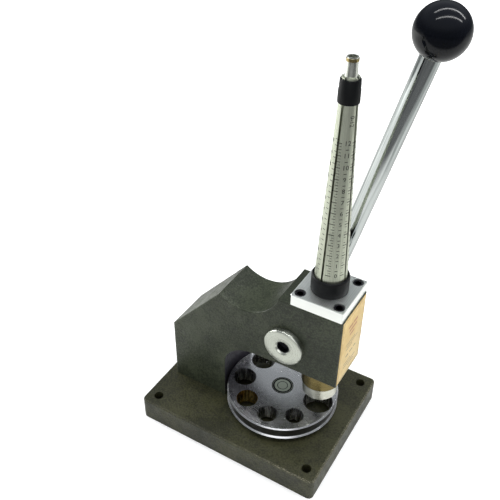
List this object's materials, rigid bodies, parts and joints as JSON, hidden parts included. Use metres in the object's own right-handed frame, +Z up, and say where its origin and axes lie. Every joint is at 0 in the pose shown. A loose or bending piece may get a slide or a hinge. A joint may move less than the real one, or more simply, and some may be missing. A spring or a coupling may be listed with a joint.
{
  "type": "ring stretcher and reducer press",
  "caption": "Bench press with a long ball lever, an expanding tapered mandrel with a scale on top, and a turning die plate with tapered holes under a ram, to stretch or reduce rings.",
  "frame": {"origin": "centre of the four base holes, on the underside of the base", "axes": "+X from the column to the head with the label, +Y to the lever, +Z up along the mandrel"},
  "size_m": [0.2183, 0.143, 0.4083],
  "materials": {
    "olive_paint": "dark olive hammered paint",
    "black_oxide": "black oxide",
    "plain_steel": "turned steel",
    "die_steel": "hardened and polished steel",
    "ram_steel": "bright ground steel",
    "bronze": "turned bronze",
    "plate_aluminium": "satin milled",
    "mandrel_steel": "satin ground steel with an engraved scale",
    "black_rubber": "satin black rubber",
    "bright_plate": "bright plated",
    "hub_paint": "dark olive paint",
    "black_gloss": "glossy black",
    "label_print": "printed card label"
  },
  "bodies": {
    "stand": {"base_plate": "olive_paint", "press_frame": "olive_paint", "frame_bolts": "black_oxide", "dowel_pins": "plain_steel", "near_shaft_bush": "bronze", "far_shaft_bush": "bronze", "nose_bush": "bronze", "return_spring": "plain_steel", "label_plate": "label_print", "top_plate": "plate_aluminium", "plate_screws": "black_oxide", "mandrel_collar": "black_rubber", "rubber_sleeve": "black_rubber", "die_spacer": "plain_steel", "die_pivot": "plain_steel", "die_pivot_washer": "plain_steel", "die_pivot_nut": "plain_steel"},
    "die_disc": {"die_plate": "die_steel"},
    "lever_set": {"pivot_shaft": "plain_steel", "pinion": "plain_steel", "pinion_key": "plain_steel", "shaft_cap": "bright_plate", "lever_hub": "hub_paint", "hub_set_screw": "black_oxide", "lever_rod": "bright_plate", "knob_insert": "bronze", "ball_knob": "black_gloss"},
    "ram_set": {"rack_bar": "plain_steel", "ram_button": "ram_steel", "ram_screw": "black_oxide", "draw_spindle": "plain_steel", "spindle_lock_nut": "plain_steel", "tip_ring": "bronze"},
    "jaw_east": {"jaw_1": "mandrel_steel"},
    "jaw_north": {"jaw_2": "mandrel_steel"},
    "jaw_west": {"jaw_3": "mandrel_steel"},
    "jaw_south": {"jaw_4": "mandrel_steel"}
  },
  "joints": [
    {"name": "die_spin", "type": "hinge", "parent": "stand", "child": "die_disc", "pos_m": [0.024, 0, 0.02805], "axis": [0, 0, 1], "continuous": true},
    {"name": "lever_pull", "type": "hinge", "parent": "stand", "child": "lever_set", "pos_m": [0.0364, 0, 0.12395], "axis": [0, 1, 0], "range_deg": [0, 58.88]},
    {"name": "ram_drop", "type": "slide", "parent": "stand", "child": "ram_set", "axis": [0, 0, -1], "range_m": [0, 0.0185], "stiffness_N_per_m": 2500, "springref_m": -0.01, "deforming": ["return_spring"]},
    {"name": "jaw_east_spread", "type": "slide", "parent": "stand", "child": "jaw_east", "axis": [0.8141, 0.5807, 0], "range_m": [0, 0.0008], "deforming": ["rubber_sleeve", "mandrel_collar"]},
    {"name": "jaw_north_spread", "type": "slide", "parent": "stand", "child": "jaw_north", "axis": [-0.5807, 0.8141, 0], "range_m": [0, 0.0008]},
    {"name": "jaw_west_spread", "type": "slide", "parent": "stand", "child": "jaw_west", "axis": [-0.8141, -0.5807, 0], "range_m": [0, 0.0008]},
    {"name": "jaw_south_spread", "type": "slide", "parent": "stand", "child": "jaw_south", "axis": [0.5807, -0.8141, 0], "range_m": [0, 0.0008]}
  ],
  "couplings": [
    {"joint": "ram_drop", "follows": "lever_pull", "m_per_rad": 0.018},
    {"joint": "jaw_east_spread", "follows": "lever_pull", "m_per_rad": 0.00077836},
    {"joint": "jaw_north_spread", "follows": "lever_pull", "m_per_rad": 0.00077836},
    {"joint": "jaw_west_spread", "follows": "lever_pull", "m_per_rad": 0.00077836},
    {"joint": "jaw_south_spread", "follows": "lever_pull", "m_per_rad": 0.00077836}
  ]
}
